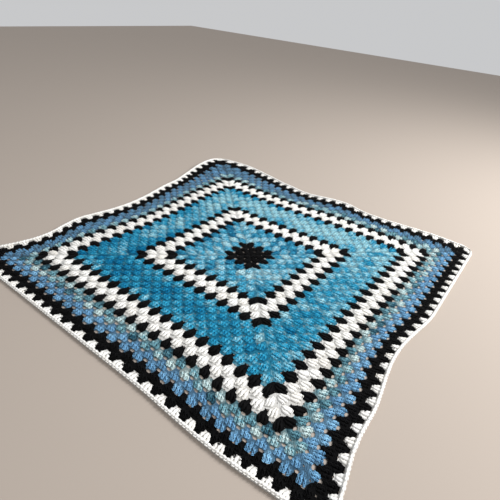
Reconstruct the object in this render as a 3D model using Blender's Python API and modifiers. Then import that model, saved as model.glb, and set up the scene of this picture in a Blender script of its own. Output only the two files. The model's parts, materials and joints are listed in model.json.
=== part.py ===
"""Granny square blanket, spread out flat, with one corner and a low ripple raised.

It is one piece of crochet, worked in square rounds from the middle out. A place
on it is written as (a, b), counted in rounds from the middle along X and Y, so
round n lies where the larger of the two is between n - 1 and n. The function
lay() turns such a place into metres on the cloth as it lies.
Run it with: blender --background --python part.py
"""
from collections import namedtuple
import math

import bmesh
import bpy
from mathutils import Matrix, Vector

# The gauge of the crochet, in metres
ROUND_DEPTH = 0.0204
SNUG_DEPTH = 0.0165
THICKNESS = 0.006

# Rounds, counted from the middle
LOOSE_ROUNDS = 22
ROUNDS = 29
EDGE = ROUNDS

# The tips of the corners are drawn in
CORNER_TIP = 2.4

# Gaps between the clusters of stitches, cut where they are widest
GAP_WIDTH = 0.0085
GAP_LENGTH = 0.0105
OPEN_ROUNDS = (24, 26)
CORNER_GAPS_FROM = 3
SIDE_GAP_INSIDE = 0.72
CORNER_GAP_INSIDE = 0.42
GAP_SIDES = 4

# The sheet's mesh has cells of about one round
CELLS = 60
CUTTER_HEIGHT = 0.09

YARN_BLUE = (0.10, 0.34, 0.50, 1.0)
YARN_ROUGHNESS = 0.9

# The sides of the cloth: the way out of it, and the way along it
Side = namedtuple("Side", "out along")
SIDES = {
    "left": Side(Vector((-1, 0)), Vector((0, 1))),
    "right": Side(Vector((1, 0)), Vector((0, 1))),
    "near": Side(Vector((0, -1)), Vector((1, 0))),
    "far": Side(Vector((0, 1)), Vector((1, 0))),
}

# Places where the cloth has drifted, in rounds: the middle of the place, how far
# round it this is felt, and the way it has moved
Shift = namedtuple("Shift", "at radius move")
SHIFTS = (
    Shift(at=(0, 0), radius=16, move=(0.7, 0.3)),
    Shift(at=(11, 19), radius=18, move=(0.35, 1.1)),
    Shift(at=(17, -21), radius=8, move=(0.2, -0.8)),
)

# Where a side strays from its straight line, in rounds: the middle and half length
# of the stretch, how far it goes out and along, and how deep into the cloth this is felt
Wave = namedtuple("Wave", "side middle half_length out along depth")
WAVES = (
    Wave("left", middle=-2, half_length=14, out=-1.9, along=0, depth=20),
    Wave("left", middle=-19, half_length=9, out=-1.9, along=0, depth=10),
    Wave("left", middle=23, half_length=12, out=2.4, along=0, depth=9),
    Wave("far", middle=-20, half_length=9, out=2.3, along=0, depth=10),
    Wave("far", middle=-12, half_length=6, out=0.7, along=0, depth=8),
    Wave("far", middle=4, half_length=5, out=0.8, along=0, depth=8),
    Wave("far", middle=24, half_length=13, out=1.4, along=0, depth=9),
    Wave("right", middle=-5, half_length=11, out=-1.2, along=0, depth=11),
    Wave("right", middle=-26, half_length=9, out=0.6, along=0, depth=8),
    Wave("near", middle=15, half_length=11, out=0.4, along=0, depth=10),
    Wave("near", middle=13, half_length=24, out=0, along=3.1, depth=9),
)

# Folds that stand off the surface, in rounds: a ridge from one place to another,
# its half width, and its height in metres at both ends
Fold = namedtuple("Fold", "start end half_width height_start height_end")
FOLDS = (
    Fold(start=(-28.5, 28.5), end=(-28.0, 28.0), half_width=10, height_start=0.020, height_end=0.020),
    Fold(start=(0.5, 30.0), end=(4.0, 22.0), half_width=5.5, height_start=0.010, height_end=0.002),
)


def clamp(value):
    """The value held between 0 and 1."""
    return max(0.0, min(1.0, value))


def hump(distance):
    """A smooth hump: 1 in its middle, and 0 from a distance of 1 outwards."""
    return (1 - min(distance * distance, 1)) ** 2


def reach(rounds):
    """Metres from the middle of the cloth to the line of this round."""
    snug = max(0.0, rounds - LOOSE_ROUNDS)
    return (rounds - snug) * ROUND_DEPTH + snug * SNUG_DEPTH


def drift(place):
    """How far the shifts and the corner tips carry a place, as a plan vector in metres."""
    moved = Vector((0, 0))
    for shift in SHIFTS:
        moved += Vector(shift.move) * hump((place - Vector(shift.at)).length / shift.radius)
    past = max(0.0, abs(place.x) + abs(place.y) - 2 * EDGE + CORNER_TIP)
    tuck = past * past / (4 * CORNER_TIP)
    moved -= Vector((math.copysign(tuck, place.x), math.copysign(tuck, place.y)))
    return moved * ROUND_DEPTH


def stray(place):
    """How far the waves of the sides carry a place, as a plan vector in metres."""
    moved = Vector((0, 0))
    for wave in WAVES:
        side = SIDES[wave.side]
        felt = clamp((place.dot(side.out) - EDGE) / wave.depth + 1)
        eased = felt * felt * (3 - 2 * felt)
        distance = (place.dot(side.along) - wave.middle) / wave.half_length
        way = side.out * wave.out + side.along * wave.along
        moved += way * (ROUND_DEPTH * hump(distance) * eased)
    return moved


def rise(place):
    """How high the folds lift a place off the surface, in metres."""
    height = 0.0
    for fold in FOLDS:
        start = Vector(fold.start)
        ridge = Vector(fold.end) - start
        share = clamp((place - start).dot(ridge) / ridge.length_squared)
        distance = (place - start - ridge * share).length / fold.half_width
        top = fold.height_start + (fold.height_end - fold.height_start) * share
        height += top * hump(distance)
    return height


def lay(a, b):
    """Where a place of the cloth lies, before the cloth is centred."""
    place = Vector((a, b))
    ring = max(abs(a), abs(b))
    plan = place * (reach(ring) / ring) if ring > 0 else place
    plan = plan + drift(place) + stray(place)
    return Vector((plan.x, plan.y, rise(place)))


def outline_middle():
    """The middle of the box round the cloth, so that it can lie centred on the origin."""
    steps = [EDGE * (2 * i / CELLS - 1) for i in range(CELLS + 1)]
    edge = [lay(s, t) for s in steps for t in (-EDGE, EDGE)]
    edge += [lay(t, s) for s in steps for t in (-EDGE, EDGE)]
    xs = [p.x for p in edge]
    ys = [p.y for p in edge]
    return Vector(((min(xs) + max(xs)) / 2, (min(ys) + max(ys)) / 2, 0))


def remove_everything():
    """Clear the scene's objects."""
    for found in list(bpy.data.objects):
        bpy.data.objects.remove(found, do_unlink=True)


def new_collection(name):
    """A collection in the scene."""
    made = bpy.data.collections.new(name)
    bpy.context.scene.collection.children.link(made)
    return made


def new_object(name, bm, collection):
    """An object made from a bmesh, in a collection."""
    mesh = bpy.data.meshes.new(name)
    bm.to_mesh(mesh)
    bm.free()
    made = bpy.data.objects.new(name, mesh)
    collection.objects.link(made)
    return made


def yarn_material():
    """Matt wool-like yarn."""
    made = bpy.data.materials.new("crochet_yarn")
    made.use_nodes = True
    shader = made.node_tree.nodes["Principled BSDF"]
    shader.inputs["Base Color"].default_value = YARN_BLUE
    shader.inputs["Roughness"].default_value = YARN_ROUGHNESS
    shader.inputs["Metallic"].default_value = 0.0
    return made


def make_sheet(collection, middle):
    """The underside of the cloth as a grid of cells, laid out and then thickened upwards."""
    bm = bmesh.new()
    bmesh.ops.create_grid(bm, x_segments=CELLS, y_segments=CELLS, size=EDGE)
    for vertex in bm.verts:
        vertex.co = lay(vertex.co.x, vertex.co.y) - middle
    sheet = new_object("blanket", bm, collection)
    thicken = sheet.modifiers.new("thickness", "SOLIDIFY")
    thicken.thickness = THICKNESS
    thicken.offset = 1
    return sheet


def gap_places():
    """Each gap as its place and the turn of its long way, side by side of the square."""
    found = []
    for quarter in range(4):
        turn = Matrix.Rotation(math.radians(90 * quarter), 2)
        for n in range(CORNER_GAPS_FROM, ROUNDS):
            corner = n - CORNER_GAP_INSIDE
            found.append((turn @ Vector((corner, -corner)), math.radians(90 * quarter + 45)))
        for n in OPEN_ROUNDS:
            for k in range(n - 1):
                place = Vector((2 * k - (n - 2), SIDE_GAP_INSIDE - n))
                found.append((turn @ place, math.radians(90 * quarter)))
    return found


def make_gap_cutters(collection, middle):
    """One four-sided prism for each gap, all in one mesh."""
    bm = bmesh.new()
    size = Matrix.Diagonal((GAP_WIDTH, GAP_LENGTH, CUTTER_HEIGHT, 1))
    for place, turn in gap_places():
        at = Matrix.Translation(lay(place.x, place.y) - middle)
        bmesh.ops.create_cone(
            bm,
            cap_ends=True,
            segments=GAP_SIDES,
            radius1=0.5,
            radius2=0.5,
            depth=1,
            matrix=at @ Matrix.Rotation(turn, 4, "Z") @ size,
        )
    cutters = new_object("gap_cutters", bm, collection)
    cutters.hide_render = True
    cutters.display_type = "WIRE"
    return cutters


def main():
    """Build the blanket."""
    remove_everything()
    cloth = new_collection("granny_square_blanket")
    helpers = new_collection("cutters")
    middle = outline_middle()
    sheet = make_sheet(cloth, middle)
    sheet.data.materials.append(yarn_material())
    cut = sheet.modifiers.new("gaps", "BOOLEAN")
    cut.operation = "DIFFERENCE"
    cut.solver = "EXACT"
    cut.object = make_gap_cutters(helpers, middle)


main()
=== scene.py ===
# %% [markdown]
# # A granny square blanket, stitch by stitch
# The blanket is one piece of crochet about 1.2 m across, worked in square rounds
# from a black middle to a white edge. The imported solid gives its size, its uneven
# outline and its low folds. This script adds what the solid leaves out: every
# treble stitch, the short stitches of the edging, and six yarns.

# %% The frame
from collections import namedtuple
import json
import math

import bmesh
import bpy
import numpy as np
from mathutils import Matrix, Vector

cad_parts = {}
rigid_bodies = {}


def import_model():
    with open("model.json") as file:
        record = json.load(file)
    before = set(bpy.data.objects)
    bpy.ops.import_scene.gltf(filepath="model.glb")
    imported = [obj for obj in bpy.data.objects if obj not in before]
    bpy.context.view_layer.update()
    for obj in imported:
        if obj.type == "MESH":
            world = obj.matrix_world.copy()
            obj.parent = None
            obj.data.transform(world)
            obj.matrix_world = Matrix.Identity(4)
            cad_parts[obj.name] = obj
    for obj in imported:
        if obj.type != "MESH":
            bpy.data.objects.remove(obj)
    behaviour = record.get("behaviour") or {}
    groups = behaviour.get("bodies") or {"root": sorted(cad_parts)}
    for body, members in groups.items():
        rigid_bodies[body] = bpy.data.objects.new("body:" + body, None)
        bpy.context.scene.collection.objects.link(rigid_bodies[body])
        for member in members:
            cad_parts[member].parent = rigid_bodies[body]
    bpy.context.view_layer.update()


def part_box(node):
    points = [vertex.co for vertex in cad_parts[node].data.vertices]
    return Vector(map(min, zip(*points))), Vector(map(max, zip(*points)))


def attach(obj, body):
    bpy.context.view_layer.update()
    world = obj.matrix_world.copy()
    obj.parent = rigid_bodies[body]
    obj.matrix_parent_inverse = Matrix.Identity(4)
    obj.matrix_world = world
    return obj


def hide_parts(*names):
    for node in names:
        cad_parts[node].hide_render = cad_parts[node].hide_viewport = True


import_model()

# %% [markdown]
# ## Counting in rounds
# A crocheter measures in rounds, and so does this script. A place on the cloth is
# (a, b), counted in rounds from the middle. A round of clusters is 20.4 mm deep,
# and the last ones were worked tighter. The rounds could be drawn at their final
# place straight away, but it is easier to work them on a perfect square first and
# to lay the finished cloth down afterwards.

# %% The gauge
ROUND_DEPTH = 0.0204
SNUG_DEPTH = 0.0165
LOOSE_ROUNDS = 22
ROUNDS = 29
EDGE = ROUNDS
CLOTH_SIDE = 2 * (LOOSE_ROUNDS * ROUND_DEPTH + (EDGE - LOOSE_ROUNDS) * SNUG_DEPTH)
print(f"the cloth is {CLOTH_SIDE:.3f} m square before it is laid down")

# %% [markdown]
# ## How the cloth lies
# Real crochet never lies square. Its sides wander, its middle drifts, one corner
# stands up off the bed and a low ripple runs in from the far side. A cloth
# simulation would give folds of its own choosing, so a few smooth humps are used
# instead, each one placed where the cloth shows it. The stitches are laid with these
# values and then centred on the solid.

# %% The shape of the laid cloth
# The corner tips are drawn in, from this far inside the tip, in rounds
CORNER_TIP = 2.4

# Places where the cloth has drifted, in rounds: the middle of the place, how far round
# it this is felt, and the way it has moved
Shift = namedtuple("Shift", "at radius move")
SHIFTS = (
    Shift(at=(0, 0), radius=16, move=(0.7, 0.3)),
    Shift(at=(11, 19), radius=18, move=(0.35, 1.1)),
    Shift(at=(17, -21), radius=8, move=(0.2, -0.8)),
)

# Where a side strays from its straight line, in rounds: the middle and half length of the
# stretch, how far it goes out and along, and how deep into the cloth this is felt
Wave = namedtuple("Wave", "side middle half_length out along depth")
WAVES = (
    Wave("left", middle=-2, half_length=14, out=-1.9, along=0, depth=20),
    Wave("left", middle=-19, half_length=9, out=-1.9, along=0, depth=10),
    Wave("left", middle=23, half_length=12, out=2.4, along=0, depth=9),
    Wave("far", middle=-20, half_length=9, out=2.3, along=0, depth=10),
    Wave("far", middle=-12, half_length=6, out=0.7, along=0, depth=8),
    Wave("far", middle=4, half_length=5, out=0.8, along=0, depth=8),
    Wave("far", middle=24, half_length=13, out=1.4, along=0, depth=9),
    Wave("right", middle=-5, half_length=11, out=-1.2, along=0, depth=11),
    Wave("right", middle=-26, half_length=9, out=0.6, along=0, depth=8),
    Wave("near", middle=15, half_length=11, out=0.4, along=0, depth=10),
    Wave("near", middle=13, half_length=24, out=0, along=3.1, depth=9),
)

# Folds that stand off the surface, in rounds: a ridge from one place to another, its half
# width, and its height in metres at both ends
Fold = namedtuple("Fold", "start end half_width height_start height_end")
FOLDS = (
    Fold(start=(-28.5, 28.5), end=(-28.0, 28.0), half_width=10, height_start=0.020, height_end=0.020),
    Fold(start=(0.5, 30.0), end=(4.0, 22.0), half_width=5.5, height_start=0.010, height_end=0.002),
)

# The sides in the order they are worked: the way out of the cloth, and the way along it
SIDES = {
    "near": ((0, -1), (1, 0)),
    "right": ((1, 0), (0, 1)),
    "far": ((0, 1), (1, 0)),
    "left": ((-1, 0), (0, 1)),
}


def hump(distance):
    """A smooth hump: 1 in its middle, and 0 from a distance of 1 outwards."""
    return (1 - np.minimum(distance * distance, 1)) ** 2


def reach(rounds):
    """Metres from the middle to the line of this round."""
    snug = np.maximum(0, rounds - LOOSE_ROUNDS)
    return (rounds - snug) * ROUND_DEPTH + snug * SNUG_DEPTH


def lay(places):
    """Rows of (a, b) become rows of (x, y, z) in metres, on the underside of the cloth."""
    ring = np.abs(places).max(axis=1)
    plan = places * (reach(ring) / np.maximum(ring, 1e-9))[:, None]
    for shift in SHIFTS:
        distance = np.linalg.norm(places - shift.at, axis=1) / shift.radius
        plan += np.outer(hump(distance), shift.move) * ROUND_DEPTH
    past = np.maximum(0, np.abs(places).sum(axis=1) - 2 * EDGE + CORNER_TIP)
    plan -= np.sign(places) * (past * past / (4 * CORNER_TIP))[:, None] * ROUND_DEPTH
    for wave in WAVES:
        out, along = (np.array(way) for way in SIDES[wave.side])
        felt = np.clip((places @ out - EDGE) / wave.depth + 1, 0, 1)
        eased = felt * felt * (3 - 2 * felt)
        share = hump((places @ along - wave.middle) / wave.half_length) * eased
        plan += np.outer(share, out * wave.out + along * wave.along) * ROUND_DEPTH
    height = np.zeros(len(places))
    for fold in FOLDS:
        start, ridge = np.array(fold.start), np.subtract(fold.end, fold.start)
        share = np.clip((places - start) @ ridge / (ridge @ ridge), 0, 1)
        distance = np.linalg.norm(places - start - np.outer(share, ridge), axis=1) / fold.half_width
        height += (fold.height_start + (fold.height_end - fold.height_start) * share) * hump(distance)
    return np.column_stack((plan, height))


# %% Centre the laid cloth on the solid
# The outline is measured at the same cells that the solid has along each side
CELLS = 60
steps = np.linspace(-EDGE, EDGE, CELLS + 1)
edge_line = np.array([(s, t) for s in steps for t in (-EDGE, EDGE)])
outline = lay(np.concatenate((edge_line, edge_line[:, ::-1])))[:, :2]
low, high = (np.array(corner)[:2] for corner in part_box("blanket"))
TO_FRAME = (low + high) / 2 - (outline.min(axis=0) + outline.max(axis=0)) / 2
print("the laid cloth moves by", TO_FRAME.round(4), "m to meet the solid")
# The cloth is pressed flat where it lies, so nothing dips below this height, in rounds
SURFACE = 0.01


def lay_mesh(mesh):
    """Take a mesh worked in rounds and lay it down. Its z is the height in the cloth, in rounds."""
    points = np.empty(len(mesh.vertices) * 3, np.float32)
    mesh.vertices.foreach_get("co", points)
    points = points.reshape(-1, 3).astype(float)
    laid = lay(points[:, :2])
    laid[:, :2] += TO_FRAME
    laid[:, 2] += np.maximum(points[:, 2], SURFACE) * ROUND_DEPTH
    mesh.vertices.foreach_set("co", laid.astype(np.float32).ravel())
    mesh.update()


# %% [markdown]
# ## Yarns
# Six yarns are used, all of them matt, soft and a little hairy: black, warm white,
# and four blues. The blues are dyed so that their colour changes along the thread.
# Each stitch carries a number from 0 to 1, its tone, and the yarn's material turns
# that into a colour between the darkest and the palest dye. This keeps a whole
# stitch in one shade, which an image or a noise pattern across the cloth would not.

# %% Small helpers for node trees
def linear(colour):
    """An sRGB hex colour as linear RGBA."""
    parts = [int(colour[i : i + 2], 16) / 255 for i in (1, 3, 5)]
    return (*[p / 12.92 if p <= 0.04045 else ((p + 0.055) / 1.055) ** 2.4 for p in parts], 1)


def socket_of(node, name):
    """An input of a node: by its number, as in i0, or by its name with _ for each space."""
    if name[0] == "i" and name[1:].isdigit():
        return node.inputs[int(name[1:])]
    return node.inputs[name.replace("_", " ")]


def add(tree, kind, settings=None, **inputs):
    """Add a node. Each input takes a value or is linked to a socket."""
    node = tree.nodes.new(kind)
    for name, value in (settings or {}).items():
        setattr(node, name, value)
    for name, value in inputs.items():
        socket = socket_of(node, name)
        if isinstance(value, bpy.types.NodeSocket):
            tree.links.new(value, socket)
        else:
            socket.default_value = value
    return node


# %% The yarn material
# A strand of this yarn is 5 to 8 mm thick and is plied from thinner threads, which
# slant round it about every 4 mm. The grooves between them get painted shade and their
# crests a faint painted highlight. Loose fibres make a fine haze on top. Both stand in relief.
PLY_PITCH = 0.0042
PLY_RELIEF = 0.35
PLY_GROOVE_SHADE = 0.27
PLY_CREST_HIGHLIGHT = 1.04
FIBRE = 0.0009
RELIEF_DEPTH = 0.0012
# The dye of the blues changes along the thread, in patches about 9 mm long
DYE_PATCH = 0.009
# Matt wool-like fibres: hardly any shine, and a broad faint sheen
YARN_ROUGHNESS = 0.9
YARN_SHINE = 0.12
SHEEN_SPREAD = 0.6

# The darkest, middle and palest dye of a yarn, and four numbers: how far the dye changes
# within a stitch, how bright it stays under the painted shade where a stitch sinks deep
# between its neighbours, how clearly the plies show, in bump and in the painted shade of
# their grooves, and how much the loose fibres catch the light
Yarn = namedtuple("Yarn", "name dark middle pale change deep relief sheen")
KINDS = {
    # Matt near-black that swallows the light and draws the pointed lines of the pattern
    "black": Yarn(
        "black_acrylic_yarn", "#020203", "#040405", "#080809",
        change=0.3, deep=0.6, relief=0.6, sheen=0.0,
    ),
    # Warm, bright white; the soft shadows between its strands are partly real shadow and partly painted
    # shade where a strand sinks
    "white": Yarn(
        "warm_white_acrylic_yarn", "#f4f0e8", "#fbf9f4", "#fffefb",
        change=0.3, deep=0.6, relief=0.35, sheen=0.04,
    ),
    # Clear aqua that flickers from deep to very pale, stitch by stitch
    "aqua": Yarn(
        "aqua_dyed_yarn", "#07729d", "#4bbae0", "#c8f2fb",
        change=1.4, deep=0.42, relief=0.65, sheen=0.02,
    ),
    # Strong turquoise, the widest and most even field of the blanket
    "turquoise": Yarn(
        "turquoise_dyed_yarn", "#0079aa", "#38b0d8", "#baedf7",
        change=1.3, deep=0.4, relief=0.65, sheen=0.0,
    ),
    # Petrol to icy mint, the most speckled of the four blues
    "mint": Yarn(
        "mint_dyed_yarn", "#2a5f74", "#88c3d2", "#e4fbfa",
        change=1.5, deep=0.32, relief=0.85, sheen=0.04,
    ),
    # Dusty denim blue with a greyer darkest dye, much darker in painted shade where it sinks and
    # between its plies, and brighter on its ridges, partly from a painted highlight on the ply crests
    "denim": Yarn(
        "denim_blue_dyed_yarn", "#628ba6", "#74afdc", "#98d2f8",
        change=1.2, deep=0.32, relief=0.85, sheen=0.04,
    ),
}


def yarn_material(kind):
    """Plied yarn: the tone picks the dye, slanting plies and fibres give relief and painted shade
    in the ply grooves, and painted shade darkens a stitch the further it sinks."""
    material = bpy.data.materials.new(kind.name)
    material.use_nodes = True
    tree = material.node_tree
    shader = tree.nodes["Principled BSDF"]
    shader.inputs["Roughness"].default_value = YARN_ROUGHNESS
    shader.inputs["Specular IOR Level"].default_value = YARN_SHINE
    shader.inputs["Sheen Weight"].default_value = kind.sheen
    shader.inputs["Sheen Roughness"].default_value = SHEEN_SPREAD
    tone = add(tree, "ShaderNodeAttribute", {"attribute_name": "tone"})
    place = add(tree, "ShaderNodeTexCoord").outputs["Object"]
    patches = add(tree, "ShaderNodeTexNoise", Vector=place, Scale=1 / DYE_PATCH, Detail=2)
    spread = add(
        tree,
        "ShaderNodeMath",
        {"operation": "MULTIPLY_ADD"},
        i0=patches.outputs["Fac"],
        i1=kind.change,
        i2=tone.outputs["Fac"],
    )
    dyed = add(
        tree,
        "ShaderNodeMath",
        {"operation": "SUBTRACT", "use_clamp": True},
        i0=spread.outputs[0],
        i1=kind.change / 2,
    )
    ramp = add(tree, "ShaderNodeValToRGB", Fac=dyed.outputs[0])
    ramp.color_ramp.elements[0].color = linear(kind.dark)
    ramp.color_ramp.elements[1].color = linear(kind.pale)
    ramp.color_ramp.elements.new(0.5).color = linear(kind.middle)
    wrapped = add(tree, "ShaderNodeUVMap", {"uv_map": "UVMap"})
    around = add(tree, "ShaderNodeSeparateXYZ", Vector=wrapped.outputs[0])
    slant = add(
        tree,
        "ShaderNodeMath",
        {"operation": "MULTIPLY_ADD"},
        i0=around.outputs["X"],
        i1=1 / PLY_PITCH,
        i2=around.outputs["Y"],
    )
    turned = add(tree, "ShaderNodeMath", {"operation": "MULTIPLY"}, i0=slant.outputs[0], i1=2 * math.pi)
    plies = add(tree, "ShaderNodeMath", {"operation": "SINE"}, i0=turned.outputs[0])
    fibres = add(tree, "ShaderNodeTexNoise", Vector=place, Scale=1 / FIBRE, Detail=2)
    relief = add(
        tree,
        "ShaderNodeMath",
        {"operation": "MULTIPLY_ADD"},
        i0=plies.outputs[0],
        i1=PLY_RELIEF,
        i2=fibres.outputs["Fac"],
    )
    bump = add(
        tree, "ShaderNodeBump", Height=relief.outputs[0], Strength=kind.relief, Distance=RELIEF_DEPTH
    )
    # Painted shade: the lower a point of a stitch lies, the darker its colour, down to the yarn's level at
    # the bottom
    shade_lift = add(tree, "ShaderNodeAttribute", {"attribute_name": "shade_lift"})
    sunk_painted_shade = add(tree, "ShaderNodeMapRange", Value=shade_lift.outputs["Fac"], To_Min=kind.deep, To_Max=1.0)
    # Painted shade in the grooves between the plies, and a faint painted highlight on their crests
    shade = add(
        tree,
        "ShaderNodeMapRange",
        Value=plies.outputs[0],
        From_Min=-1.0,
        To_Min=1 - PLY_GROOVE_SHADE * kind.relief,
        To_Max=PLY_CREST_HIGHLIGHT,
    )
    painted_shade_factor = add(tree, "ShaderNodeMath", {"operation": "MULTIPLY"}, i0=sunk_painted_shade.outputs[0], i1=shade.outputs[0])
    colour = add(
        tree,
        "ShaderNodeVectorMath",
        {"operation": "SCALE"},
        i0=ramp.outputs["Color"],
        Scale=painted_shade_factor.outputs[0],
    )
    tree.links.new(colour.outputs[0], shader.inputs["Base Color"])
    tree.links.new(bump.outputs[0], shader.inputs["Normal"])
    return material


YARNS = {name: yarn_material(kind) for name, kind in KINDS.items()}
print("yarns:", ", ".join(YARNS))

# %% [markdown]
# ## One treble stitch
# A treble is a tall stitch. Its post is two strands of yarn that cross each other as a
# braid does, and a link of chain lies across its top like a narrow eye. It could be
# sculpted, but a stitch is only thread on a path, so each strand is a tube swept along
# a few points, and the tube tapers to a closed point where it dives under its
# neighbours. Three trebles fan out of one gap to make a cluster, so three shapes are
# made: one that leans left, one upright and one that leans right. Each comes in two
# thicknesses: fine for the blues and the outer black, plump for the rest.

# %% A tube along a path
TUBE_SIDES = 4


def sweep(bm, path, widths):
    """A closed tube along the path. Its UV runs along it in metres and round it from 0 to 1."""
    uv = bm.loops.layers.uv.verify()
    along = np.concatenate(([0], np.cumsum(np.linalg.norm(np.diff(path, axis=0), axis=1))))
    rings = []
    for i, (centre, width) in enumerate(zip(path, widths)):
        if i in (0, len(path) - 1):
            rings.append([bm.verts.new(centre)] * TUBE_SIDES)
            continue
        ahead = Vector(path[i + 1] - path[i - 1]).normalized()
        across = ahead.cross(Vector((0, 0, 1))).normalized()
        up = across.cross(ahead)
        ring = []
        for k in range(TUBE_SIDES):
            angle = 2 * math.pi * (k + 0.5) / TUBE_SIDES
            outwards = across * math.cos(angle) + up * math.sin(angle)
            ring.append(bm.verts.new(Vector(centre) + outwards * width))
        rings.append(ring)
    for i, (ring, after) in enumerate(zip(rings, rings[1:])):
        for k in range(TUBE_SIDES):
            n = (k + 1) % TUBE_SIDES
            corners = [(ring[k], i, k), (after[k], i + 1, k), (after[n], i + 1, k + 1), (ring[n], i, k + 1)]
            kept = [c for j, c in enumerate(corners) if c[0] is not corners[j - 1][0]]
            face = bm.faces.new([c[0] for c in kept])
            face.smooth = True
            for loop, (_, step, turn) in zip(face.loops, kept):
                loop[uv].uv = (along[step] * ROUND_DEPTH, turn / TUBE_SIDES)


# %% The treble
# Sizes are in rounds, from the gap that the cluster grows out of
CLUSTER_HEIGHT = 1.62
# How far to the side a leaning treble stands, at these shares of its height
FAN_AT = (0, 0.25, 0.6, 1)
FAN_OUT = (0.16, 0.29, 0.43, 0.41)
# The three tops make a low arch, and a post ends a little short of the top
ARCH_DROP = 0.05
POST_SHORT = 0.08
# How thick a strand is and how far it winds out: plump strands close up to one mass
Twist = namedtuple("Twist", "strand wind")
TWISTS = {"fine": Twist(strand=0.115, wind=0.13), "plump": Twist(strand=0.2, wind=0.07)}
WINDS = 1.75
WIND_START = math.pi / 4
WIND_DEPTH = 0.5
POST_STEPS = 9
# A strand is thinner at its foot and soon grows to its full thickness
FOOT_GIRTH = 0.6
GIRTH_GROWTH = 1.4
# A post starts low in the gap and has all its height from this share of its length
FOOT_HEIGHT = 0.09
POST_HEIGHT = 0.22
FULL_HEIGHT_AT = 0.75
# The outer two trebles lie lower than the upright one, and one strand under the other
SIDE_DROP = 0.07
UNDER = 0.04
# In the cloth a treble is pressed flatter than it is shaped here
FLATNESS = 0.7
# The two threads of a link stand furthest apart just past its middle
LINK_RADIUS = 0.07
LINK_LENGTH = 0.46
LINK_STEPS = 3
LINK_CLOSED = 0.02
LINK_OPEN = 0.085
LINK_SPEED = 1.1
LINK_SKEW = 1.3
LINK_ARCH = 0.03
LINK_TIP = 0.02
# The link lies below the top of its treble and above the post, turned with the lean
LINK_BELOW = 0.1
LINK_ABOVE = 0.07
LINK_TURN = 0.5


def post(bm, lean, way, twist):
    """One of the two strands of a post. They wind opposite ways, and so they cross."""
    t = np.linspace(0, 1, POST_STEPS + 1)
    grown = np.minimum(1, FOOT_GIRTH + GIRTH_GROWTH * t)
    angle = WIND_START + 2 * math.pi * WINDS * t
    x = lean * np.interp(t, FAN_AT, FAN_OUT) + way * twist.wind * grown * np.cos(angle)
    y = t * (CLUSTER_HEIGHT - POST_SHORT - ARCH_DROP * abs(lean))
    risen = np.sin(math.pi / 2 * np.minimum(1, t / FULL_HEIGHT_AT))
    height = FOOT_HEIGHT + (POST_HEIGHT - FOOT_HEIGHT) * risen
    z = height - SIDE_DROP * abs(lean) + WIND_DEPTH * twist.wind * grown * np.sin(angle)
    z[1:-1] -= UNDER * (way < 0)
    sweep(bm, np.column_stack((x, y, z)), twist.strand * grown)


def link(bm, middle, turn, height):
    """The two threads of a chain link: together at its ends, apart in its middle."""
    t = np.linspace(0, 1, LINK_STEPS + 1)
    apart = np.sin(math.pi * np.minimum(1, t * LINK_SPEED) ** LINK_SKEW)
    rotation = np.array(((math.cos(turn), math.sin(turn)), (-math.sin(turn), math.cos(turn))))
    for side in (-1, 1):
        x = (t - 0.5) * LINK_LENGTH
        y = side * (LINK_CLOSED + LINK_OPEN * apart)
        z = height + LINK_ARCH * np.sin(math.pi * t) + LINK_TIP * side
        path = np.column_stack((x, y, z))
        path[:, :2] = path[:, :2] @ rotation
        path[:, :2] += middle
        sweep(bm, path, np.full(LINK_STEPS + 1, LINK_RADIUS))


def new_piece(name, bm, collection):
    """An object from a bmesh."""
    mesh = bpy.data.meshes.new(name)
    bm.normal_update()
    bm.to_mesh(mesh)
    bm.free()
    made = bpy.data.objects.new(name, mesh)
    collection.objects.link(made)
    return made


stitches = {}
for label, twist in TWISTS.items():
    stitches[label] = bpy.data.collections.new(f"{label}_trebles")
    bpy.context.scene.collection.children.link(stitches[label])
    for number, lean in enumerate((-1, 0, 1)):
        bm = bmesh.new()
        for way in (-1, 1):
            post(bm, lean, way, twist)
        top = CLUSTER_HEIGHT - LINK_BELOW - ARCH_DROP * abs(lean)
        height = POST_HEIGHT + LINK_ABOVE - SIDE_DROP * abs(lean)
        link(bm, (lean * FAN_OUT[-1], top), -LINK_TURN * lean, height)
        shape = new_piece(f"{label}_treble_{number}", bm, stitches[label])
        print(shape.name, "has", len(shape.data.polygons), "faces")

# %% [markdown]
# ## Where the clusters go
# Round n has n clusters on each of its four sides. A side's clusters stand two
# rounds apart, each one in the gap between two clusters of the round before. The
# two at a corner grow from the same corner gap and lean apart. A list of all 1740
# places would be dull and easy to get wrong, so a loop works them out.

# %% The places of the clusters
Cluster = namedtuple("Cluster", "round side step base tip")
# On the near side, well past its middle, the trebles of round 26 are longer
Long = namedtuple("Long", "side round after more")
LONG = Long("near", 26, after=8, more=0.4)
# A cluster's foot lies this far inside the line of its round, in rounds, and deeper where
# the work is tighter. Its top lies beyond that line, but short of it in the last round
FIRST_FOOT = -0.12
BASE_INSIDE = 1.27
SNUG_FROM = 27
SNUG_INSIDE = 1.46
TIP_BEYOND = 0.15
LAST_TIP = -0.1
# Clusters near a corner are pushed along the side away from it, the nearest the most
CORNER_CROWD = 0.25
CROWD_FADE = 0.6
# The two at the corner itself have their feet and tops this far short of it
CORNER_FOOT = 1.55
CORNER_TOP = 1.3


def turned(point, quarter):
    """A place on the near side, turned to the same place on another side."""
    x, y = point
    return ((x, y), (-y, x), (-x, -y), (y, -x))[quarter]


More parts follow.
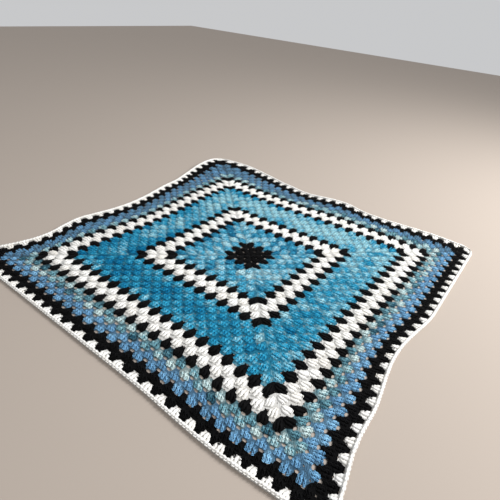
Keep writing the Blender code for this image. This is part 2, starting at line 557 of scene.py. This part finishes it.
def clusters_of(n):
    """The clusters of round n, side by side: near, right, far and left."""
    beyond = TIP_BEYOND if n < ROUNDS else LAST_TIP
    inside = BASE_INSIDE if n < SNUG_FROM else SNUG_INSIDE
    for quarter, side in enumerate(SIDES):
        for k in range(n):
            across = 2 * k - (n - 1)
            crowd = CORNER_CROWD * (CROWD_FADE ** (n - 1 - k) - CROWD_FADE**k)
            base = (across - crowd, inside - n)
            tip = (across - crowd, -n - beyond)
            if n == 1:
                base = (0, FIRST_FOOT)
            elif k in (0, n - 1):
                way = -1 if k == 0 else 1
                base = (way * (n - CORNER_FOOT), inside - n)
                tip = (way * (n - CORNER_TOP), -n - beyond)
            if side == LONG.side and n == LONG.round and across > LONG.after:
                tip = (tip[0], tip[1] - LONG.more)
            yield Cluster(n, side, k, turned(base, quarter), turned(tip, quarter))


all_clusters = [cluster for n in range(1, ROUNDS + 1) for cluster in clusters_of(n)]
print(len(all_clusters), "clusters,", 3 * len(all_clusters), "trebles")

# %% [markdown]
# ## Which yarn, and how dark
# The rounds change yarn as the table says. Hand-dyed yarn changes shade slowly as
# it runs through the fingers, so neighbours are alike and the shade drifts along a
# side. The tables give the drift around the square, and a seeded random number
# makes neighbours differ a little. On the left and at the far left the dye of the
# second mint round had already turned to denim blue.

# %% Yarn and tone of each cluster
Band = namedtuple("Band", "yarn first last")
BANDS = (
    Band("black", 1, 3),
    Band("aqua", 4, 8),
    Band("black", 9, 9),
    Band("white", 10, 11),
    Band("black", 12, 12),
    Band("turquoise", 13, 18),
    Band("black", 19, 19),
    Band("white", 20, 21),
    Band("black", 22, 22),
    Band("mint", 23, 24),
    Band("denim", 25, 26),
    Band("black", 27, 28),
    Band("white", 29, 29),
)

# A ball of the dyed yarn lasts about half a round, so each round has two tones: the first
# for its near and right sides, the second for its far and left sides
AQUA_ROUNDS = {
    4: (0.38, 0.48),
    5: (0.85, 0.75),
    6: (0.55, 0.38),
    7: (0.52, 0.58),
    8: (0.66, 0.36),
}
# The same for turquoise, but added to the tones at each corner and each middle of a side,
# which run from the near left corner and back to it
TURQUOISE_ROUNDS = {
    13: (0.09, -0.15),
    14: (0.02, 0.06),
    15: (-0.11, 0.14),
    16: (-0.09, 0.13),
    17: (0, 0.03),
    18: (0.1, -0.2),
}
TURQUOISE_DRIFT = (0.30, 0.36, 0.48, 0.62, 0.80, 0.80, 0.74, 0.60, 0.30)
DENIM_SIDES = {"near": 0.50, "right": 0.62, "far": 0.20, "left": 0.22}
# The mint goes from dark to pale and back every few clusters, each round and side a little
# out of step with the one before. On the left and far left it is even
MINT_MIDDLE = 0.56
MINT_SWING = 0.42
MINT_CLUSTERS = 6.3
MINT_ROUND_STEP = 0.37
MINT_SIDE_STEP = 0.21
MINT_EVEN = 0.66
EVEN_FAR = -2
# The round that turns to denim blue on the left, and on the far side left of this place
TURNED_ROUND = 24
TURNED_FAR = -4
# How much chance makes neighbouring clusters differ
TONE_CHANCE = {
    "black": 0.18,
    "white": 0.18,
    "aqua": 0.16,
    "turquoise": 0.12,
    "mint": 0.12,
    "denim": 0.13,
}
MIDDLE_TONE = 0.5
chance = np.random.default_rng(29)


def on_the_left(cluster, far):
    """Whether a cluster is on the left side, or on the far side left of this place."""
    return cluster.side == "left" or cluster.side == "far" and cluster.base[0] < far


def yarn_of(cluster):
    """The yarn of a cluster."""
    if cluster.round == TURNED_ROUND and on_the_left(cluster, TURNED_FAR):
        return "denim"
    return next(band.yarn for band in BANDS if band.first <= cluster.round <= band.last)


def plain_tone(cluster, yarn):
    """The tone of a cluster before chance, from 0 for the darkest dye to 1 for the palest."""
    n = cluster.round
    lap = list(SIDES).index(cluster.side)
    if yarn == "turquoise":
        halves = (lap + cluster.step / n) * 2
        drift = np.interp(halves, range(len(TURQUOISE_DRIFT)), TURQUOISE_DRIFT)
        return drift + TURQUOISE_ROUNDS[n][lap // 2]
    if yarn == "aqua":
        return AQUA_ROUNDS[n][lap // 2]
    if yarn == "mint" and on_the_left(cluster, EVEN_FAR):
        return MINT_EVEN
    if yarn == "mint":
        turns = cluster.step / MINT_CLUSTERS + MINT_ROUND_STEP * n + MINT_SIDE_STEP * lap
        return MINT_MIDDLE + MINT_SWING * math.sin(2 * math.pi * turns)
    if yarn == "denim":
        return DENIM_SIDES[cluster.side]
    return MIDDLE_TONE


planned = []
for cluster in all_clusters:
    yarn = yarn_of(cluster)
    tone = plain_tone(cluster, yarn) + TONE_CHANCE[yarn] * chance.normal(0, 1)
    planned.append((cluster, yarn, min(1, max(0, tone))))
for yarn in YARNS:
    print(yarn, sum(1 for _, used, _ in planned if used == yarn), "clusters")

# %% [markdown]
# ## Working the stitches
# Five thousand trebles can't be placed by hand, and a copy of an object for each
# would be slow. Geometry Nodes suits this: one point for each treble carries its
# turn, its size, which of the three shapes it takes and its tone. The tree puts a
# shape on each point, loosens it a little as a hand would, and makes it all real.

# %% The tree that works the stitches
def new_tree(name, inputs):
    """A Geometry Nodes tree with a geometry input and output and these named inputs."""
    tree = bpy.data.node_groups.new(name, "GeometryNodeTree")
    tree.is_modifier = True
    tree.interface.new_socket("Geometry", in_out="INPUT", socket_type="NodeSocketGeometry")
    for label, kind in inputs.items():
        tree.interface.new_socket(label, in_out="INPUT", socket_type=kind)
    tree.interface.new_socket("Geometry", in_out="OUTPUT", socket_type="NodeSocketGeometry")
    return tree


crochet = new_tree(
    "work_stitches",
    {
        "Shapes": "NodeSocketCollection",
        "Yarn": "NodeSocketMaterial",
        "Looseness": "NodeSocketFloat",
        "Unevenness": "NodeSocketFloat",
        "Seed": "NodeSocketInt",
    },
)
given = add(crochet, "NodeGroupInput").outputs
tight = add(crochet, "ShaderNodeMath", {"operation": "MULTIPLY"}, i0=given["Looseness"], i1=-1.0)
swing = add(
    crochet, "FunctionNodeRandomValue", i2=tight.outputs[0], i3=given["Looseness"], Seed=given["Seed"]
)
turn = add(crochet, "GeometryNodeInputNamedAttribute", Name="turn")
angle = add(
    crochet, "ShaderNodeMath", {"operation": "ADD"}, i0=turn.outputs["Attribute"], i1=swing.outputs[1]
)
euler = add(crochet, "ShaderNodeCombineXYZ", Z=angle.outputs[0])
rotation = add(crochet, "FunctionNodeEulerToRotation", Euler=euler.outputs[0])
smallest = add(crochet, "ShaderNodeMath", {"operation": "SUBTRACT"}, i0=1.0, i1=given["Unevenness"])
growth = add(crochet, "FunctionNodeRandomValue", i2=smallest.outputs[0], i3=1.0, Seed=given["Seed"])
size = add(crochet, "GeometryNodeInputNamedAttribute", {"data_type": "FLOAT_VECTOR"}, Name="size")
scale = add(
    crochet,
    "ShaderNodeVectorMath",
    {"operation": "SCALE"},
    i0=size.outputs["Attribute"],
    Scale=growth.outputs[1],
)
which = add(crochet, "GeometryNodeInputNamedAttribute", {"data_type": "INT"}, Name="which")
shapes = add(crochet, "GeometryNodeCollectionInfo", Collection=given["Shapes"], Separate_Children=True)
placed = add(
    crochet,
    "GeometryNodeInstanceOnPoints",
    Points=given["Geometry"],
    Instance=shapes.outputs[0],
    Pick_Instance=True,
    Instance_Index=which.outputs["Attribute"],
    Rotation=rotation.outputs[0],
    Scale=scale.outputs[0],
)
real = add(crochet, "GeometryNodeRealizeInstances", Geometry=placed.outputs[0])
dyed = add(crochet, "GeometryNodeSetMaterial", Geometry=real.outputs[0], Material=given["Yarn"])
add(crochet, "NodeGroupOutput", Geometry=dyed.outputs[0])
print("the tree has", len(crochet.nodes), "nodes")

# %% One piece of stitches
Stitch = namedtuple("Stitch", "place turn size which tone")
# The heights, in rounds, at which the painted shade on a stitch is darkest and at which it is gone
SHADE_DARKEST_AT = 0.0
SHADE_GONE_AT = 0.22
# How far at most a loose hand turns a stitch, and by what share it makes one smaller
LOOSENESS = math.radians(4)
UNEVENNESS = 0.08


def plain_mesh(piece):
    """Turn what the modifiers make into the piece's own mesh."""
    made = bpy.data.meshes.new_from_object(piece.evaluated_get(bpy.context.evaluated_depsgraph_get()))
    piece.modifiers.clear()
    piece.data = made
    return made


def work(name, worked, shapes, yarn, seed):
    """These stitches, all of one yarn, as one piece."""
    mesh = bpy.data.meshes.new(name)
    mesh.from_pydata([(*stitch.place, 0) for stitch in worked], [], [])
    for label, kind in (("turn", "FLOAT"), ("which", "INT"), ("tone", "FLOAT")):
        column = [getattr(stitch, label) for stitch in worked]
        mesh.attributes.new(label, kind, "POINT").data.foreach_set("value", column)
    sizes = np.array([stitch.size for stitch in worked], np.float32)
    mesh.attributes.new("size", "FLOAT_VECTOR", "POINT").data.foreach_set("vector", sizes.ravel())
    piece = bpy.data.objects.new(name, mesh)
    bpy.context.scene.collection.objects.link(piece)
    modifier = piece.modifiers.new("stitches", "NODES")
    modifier.node_group = crochet
    values = {
        "Shapes": shapes,
        "Yarn": yarn,
        "Looseness": LOOSENESS,
        "Unevenness": UNEVENNESS,
        "Seed": seed,
    }
    for socket in crochet.interface.items_tree:
        if socket.in_out == "INPUT" and socket.name in values:
            modifier[socket.identifier] = values[socket.name]
    made = plain_mesh(piece)
    # The number for the painted shade: 0 where a point of a stitch sinks lowest, 1 where it stands proud
    heights = np.array([vertex.co.z for vertex in made.vertices], np.float32)
    shade_lift = np.clip((heights - SHADE_DARKEST_AT) / (SHADE_GONE_AT - SHADE_DARKEST_AT), 0, 1)
    made.attributes.new("shade_lift", "FLOAT", "POINT").data.foreach_set("value", shade_lift)
    lay_mesh(made)
    triangles = sum(len(face.vertices) - 2 for face in piece.data.polygons)
    print(f"{name}: {len(worked)} stitches, {triangles} triangles")
    return piece


# %% The trebles, sorted into pieces by yarn
# What a hand makes uneven: a cluster's place in rounds, its turn, and each treble's tone
CLUSTER_SWAY = 0.05
CLUSTER_TILT = math.radians(3)
TREBLE_TONE = 0.06
# The clusters at a corner are narrower than the rest
CORNER_WIDTH = 0.78
# Black and white are two pieces each, and the outer ones begin with this round
OUTER_FROM = 25
PLUMP_PIECES = ("stitches_black_inner", "stitches_white_inner", "stitches_white_outer")


def piece_name(cluster, yarn):
    """The name of the piece that a cluster is part of."""
    if yarn not in ("black", "white"):
        return f"stitches_{yarn}"
    return f"stitches_{yarn}_outer" if cluster.round >= OUTER_FROM else f"stitches_{yarn}_inner"


sorted_trebles = {}
for cluster, yarn, tone in planned:
    across, up = np.subtract(cluster.tip, cluster.base)
    place = np.add(cluster.base, chance.normal(0, CLUSTER_SWAY, 2))
    tilt = math.atan2(up, across) - math.pi / 2 + chance.normal(0, CLUSTER_TILT)
    width = CORNER_WIDTH if cluster.step in (0, cluster.round - 1) else 1
    size = (width, math.hypot(across, up) / CLUSTER_HEIGHT, FLATNESS)
    trebles = sorted_trebles.setdefault((piece_name(cluster, yarn), yarn), [])
    for which in range(3):
        shade = min(1, max(0, tone + chance.normal(0, TREBLE_TONE)))
        trebles.append(Stitch(place, tilt, size, which, shade))
pieces = []
for seed, ((name, yarn), trebles) in enumerate(sorted_trebles.items()):
    shapes = stitches["plump" if name in PLUMP_PIECES else "fine"]
    pieces.append(work(name, trebles, shapes, YARNS[yarn], seed))

# %% [markdown]
# ## The edging
# A row of short stitches runs straight round the whole edge and hides the scallops
# of the last round. It uses the same tree with another shape: two short threads
# that spread upwards, and a chain link across their top that meets the next one.

# %% The short stitch and its places
# Two threads spread from a narrow foot, in rounds, and the link over them is stretched so
# that it meets the next one
SHORT_HEIGHT = 0.36
SHORT_FOOT = 0.03
SHORT_SPREAD = 0.2
SHORT_STEPS = 4
SHORT_ARCH = 0.05
EDGING_LINK = 1.25
# The row stands this far from the middle, and its white is uneven by chance
EDGING_INSIDE = 28.6
SHORT_PER_CLUSTER = 4
EDGING_TONE = 0.15
EDGING_SEED = 99

short = bpy.data.collections.new("short_shapes")
bpy.context.scene.collection.children.link(short)
bm = bmesh.new()
t = np.linspace(0, 1, SHORT_STEPS + 1)
for way in (-1, 1):
    across = way * (SHORT_FOOT + SHORT_SPREAD * t)
    height = POST_HEIGHT + SHORT_ARCH * np.sin(math.pi * t)
    path = np.column_stack((across, SHORT_HEIGHT * t, height))
    sweep(bm, path, np.full(len(t), TWISTS["plump"].strand))
link(bm, (0, SHORT_HEIGHT), 0, POST_HEIGHT + SHORT_ARCH)
new_piece("short_stitch", bm, short)

edging = []
count = SHORT_PER_CLUSTER * ROUNDS
for quarter in range(4):
    for i in range(count):
        place = ((2 * i / count - 1) * EDGING_INSIDE, -EDGING_INSIDE)
        heading = quarter * math.pi / 2 + math.pi
        if i == 0:
            # The first one of a side stands on the corner and points outwards between two sides
            heading -= math.pi / 4
        tone = MIDDLE_TONE + chance.normal(0, EDGING_TONE)
        edging.append(Stitch(turned(place, quarter), heading, (EDGING_LINK, 1, 1), 0, tone))
pieces.append(work("edging", edging, short, YARNS["white"], EDGING_SEED))

for used in (*stitches.values(), short):
    for shape in list(used.objects):
        bpy.data.objects.remove(shape, do_unlink=True)
    bpy.data.collections.remove(used)

# %% [markdown]
# ## The ground of the cloth
# Behind the threads that face up lie those that face down, and together they make a
# cloth with open gaps between the clusters. Drawing the hidden threads one by one
# would cost as much again, so a thin sheet stands for them. It has one tile for each
# cluster, and the tiles are joined in a net whose holes are the real gaps.

# %% The tiles
# Local places are (along the side, outwards), in rounds from the middle of a cluster's foot.
# A gap has its half width, how far out its bottom, its widest place and its top lie, and
# its outline at a corner, down the diagonal
Gap = namedtuple("Gap", "half bottom middle top corner")
TIGHT_GAP = Gap(
    half=0.13,
    bottom=0.38,
    middle=0.46,
    top=0.56,
    corner=((0.38, 0.38), (0.27, 0.35), (0.22, 0.22)),
)
OPEN_GAP = Gap(half=0.34, bottom=0.08, middle=0.3, top=0.52, corner=((0.24, 0.4), (0.14, 0.14)))
# The gaps are open in the first rounds and from one outer round to another
OPEN_IN_MIDDLE = 3
OPEN_FROM = 23
OPEN_TO = 27
# A tile's outline: half its width at the waist, its shoulder and its head. The head is
# lower in the last round and narrower at a corner
WAIST = 0.6
SHOULDER = (0.72, 0.6)
HEAD = (0.54, 1.05)
LAST_HEAD = (0.54, 0.9)
CORNER_HEAD = (0.14, 1.03)
CORNER_OUT = 0.42
BORDER = 1.0
# How many points of a side line make the tongue between two gaps, and how many at its end
# lie against the round before
TONGUE = 3
AGAINST_BEFORE = 5


def gap_of(n):
    """The gaps between the clusters of round n."""
    return OPEN_GAP if n <= OPEN_IN_MIDDLE or OPEN_FROM <= n <= OPEN_TO else TIGHT_GAP


def from_before(point):
    """A point of a tile of the round before, as the tile beside and beyond it has it."""
    return (1 - point[0], point[1] - 1)


def side_line(n):
    """The right-hand outline of a tile of round n, from its head to its foot."""
    before, here, after = gap_of(n - 1), gap_of(n), gap_of(n + 1)
    tongue = (
        (after.half / 2, 1 + after.bottom),
        (after.half, 1 + after.middle),
        (1 - WAIST, 1 + after.middle),
    )
    head = (*tongue, HEAD) if n < ROUNDS else (LAST_HEAD,)
    side = (SHOULDER, (WAIST, here.middle), from_before(HEAD), from_before(SHOULDER))
    foot = (
        (1 - WAIST, before.middle - 1),
        (before.half, before.middle - 1),
        (before.half / 2, before.top - 1),
    )
    return (*head, *side, *foot)


def corner_line(n):
    """The same for the tile at the right-hand corner, down the diagonal to the corner before."""
    head = (*side_line(n)[:TONGUE], CORNER_HEAD) if n < ROUNDS else (LAST_HEAD,)
    return (*head, (CORNER_OUT, CORNER_OUT), *gap_of(n).corner, (CORNER_OUT - 1, CORNER_OUT - 1))


def mirrored(points):
    """The same points on the other side of the cluster, in reverse order."""
    return tuple((-x, y) for x, y in reversed(points))


def tile(n, k):
    """The ground of cluster k of round n, clockwise seen from its own side."""
    side, corner = side_line(n), corner_line(n)
    if n == 1:
        return (*corner[:-1], (0, 0), *mirrored(corner[:-1]))
    beside = (*side[:-AGAINST_BEFORE], from_before(CORNER_HEAD))
    if k == n - 1:
        return (*corner, *mirrored(beside))
    if k == 0:
        return (*beside, *mirrored(corner))
    return (*side, *mirrored(side))


def border(k):
    """The ground of the edging outside cluster k of the last round."""
    gap = gap_of(ROUNDS)
    past_gap = ((WAIST, gap.middle), (1 - gap.half, gap.middle), (1 - gap.half / 2, gap.top))
    plain = (SHOULDER, *past_gap, (1, gap.top), (1, BORDER))
    corner = ((CORNER_OUT, CORNER_OUT), (BORDER, BORDER))
    after = corner if k == ROUNDS - 1 else plain
    before = mirrored(corner if k == 0 else plain)
    return ((-LAST_HEAD[0], LAST_HEAD[1]), *before[::-1], *after[::-1], LAST_HEAD)


print("a tile has", len(tile(ROUNDS - 1, 1)), "corners, and one at a corner", len(tile(ROUNDS - 1, 0)))

# %% The ground as one net
# The height of its upper face in rounds, its thickness in metres, and the distance in
# rounds within which the points of neighbouring tiles are one
GROUND_TOP = 0.09
GROUND_THICKNESS = 0.0017
WELD = 0.001
# The plies are drawn across it as on so many strands a round
UV_STRANDS = 3

bm = bmesh.new()
uv = bm.loops.layers.uv.new("UVMap")
tone_layer = bm.faces.layers.float.new("tone")
yarn_names = list(YARNS)
for cluster, yarn, tone in planned:
    n, k = cluster.round, cluster.step
    quarter = list(SIDES).index(cluster.side)
    middle = 2 * k - (n - 1)
    outlines = [tile(n, k)] + ([border(k)] if n == ROUNDS else [])
    for outline in outlines:
        corners = [turned((middle + x, 1 - n - y), quarter) for x, y in outline]
        face = bm.faces.new([bm.verts.new((*corner, GROUND_TOP)) for corner in corners])
        face[tone_layer] = tone
        face.material_index = yarn_names.index(yarn)
        for loop, (x, y) in zip(face.loops, outline):
            loop[uv].uv = (y * ROUND_DEPTH, x * UV_STRANDS)
bmesh.ops.remove_doubles(bm, verts=bm.verts, dist=WELD)
bmesh.ops.recalc_face_normals(bm, faces=bm.faces)
bm.normal_update()
if sum(face.normal.z for face in bm.faces) < 0:
    bmesh.ops.reverse_faces(bm, faces=bm.faces)
ground = new_piece("crochet_ground", bm, bpy.context.scene.collection)
# The ground carries no height number for the painted shade, so each yarn gives it the full painted shade of
# a stitch's lowest part
for name in yarn_names:
    ground.data.materials.append(YARNS[name])
lay_mesh(ground.data)
thicken = ground.modifiers.new("thickness", "SOLIDIFY")
thicken.thickness = GROUND_THICKNESS
thicken.offset = -1
plain_mesh(ground)
pieces.append(ground)

# %% [markdown]
# ## Putting the pieces on the body
# Every piece rides on the one body, and the ground stands for the imported solid, which is
# hidden. The stitches lie on the ground.

# %% The pieces on the body, and the solid hidden
low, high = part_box("blanket")
for piece in pieces:
    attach(piece, "root")
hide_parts("blanket")
print(len(pieces), "pieces ride on the root, and the sheet is", round(high.x - low.x, 3), "m wide")

# %% [markdown]
# ## Floor, light and camera
# The blanket lies on a plain pale floor in soft light from a large window-like lamp
# high on one side and a pale surround. The camera looks down across the near corner
# from standing height, as one would look at a blanket spread on a bed.

# %% The floor
FLOOR_HALF = 6
FLOOR_ROUGHNESS = 0.95

bm = bmesh.new()
bmesh.ops.create_grid(bm, x_segments=1, y_segments=1, size=FLOOR_HALF)
floor = new_piece("floor", bm, bpy.context.scene.collection)
# Warm pale grey paint without any shine, so that the blanket's own colours stand out
matt = bpy.data.materials.new("pale_matt_floor")
matt.use_nodes = True
matt.node_tree.nodes["Principled BSDF"].inputs["Base Color"].default_value = linear("#b0a499")
matt.node_tree.nodes["Principled BSDF"].inputs["Roughness"].default_value = FLOOR_ROUGHNESS
floor.data.materials.append(matt)
print("the floor is", 2 * FLOOR_HALF, "m square")

# %% Soft light
SURROUND_STRENGTH = 0.62
LAMP_SIZE = (1.6, 1.2)
LAMP_WATTS = 120
LAMP_PLACE = (2.1, 1.3, 1.9)

world = bpy.data.worlds.new("soft_surround")
world.use_nodes = True
world.node_tree.nodes["Background"].inputs["Color"].default_value = linear("#f7f8fa")
world.node_tree.nodes["Background"].inputs["Strength"].default_value = SURROUND_STRENGTH
bpy.context.scene.world = world
bpy.context.scene.view_settings.view_transform = "Standard"
lamp = bpy.data.objects.new("window_light", bpy.data.lights.new("window_light", "AREA"))
lamp.data.shape = "RECTANGLE"
lamp.data.size, lamp.data.size_y = LAMP_SIZE
lamp.data.energy = LAMP_WATTS
lamp.location = LAMP_PLACE
lamp.rotation_euler = (Vector((0, 0, 0)) - lamp.location).to_track_quat("-Z", "Y").to_euler()
bpy.context.scene.collection.objects.link(lamp)
print("the lamp stands at", LAMP_PLACE)
# %% The camera
# The eye in rounds from the middle of the cloth, the way it looks, and how the picture is
# turned. The eye is measured from the top of the cloth
EYE = Vector((32.0, -45.82, 34.87)) * ROUND_DEPTH
AIM_ACROSS = Vector((-0.4798, 0.7051, -0.5222))
ROLL = math.radians(5.52)
LENS = 30.54
SENSOR_WIDTH = 36
CLOTH_TOP = 0.006

camera = bpy.data.objects.new("camera", bpy.data.cameras.new("camera"))
camera.data.lens = LENS
camera.data.sensor_width = SENSOR_WIDTH
camera.location = EYE + Vector((*TO_FRAME, CLOTH_TOP))
camera.rotation_euler = (
    AIM_ACROSS.to_track_quat("-Z", "Y") @ Matrix.Rotation(ROLL, 3, "Z").to_quaternion()
).to_euler()
bpy.context.scene.collection.objects.link(camera)
bpy.context.scene.camera = camera
print("the camera is", round(camera.location.z, 2), "m above the floor")
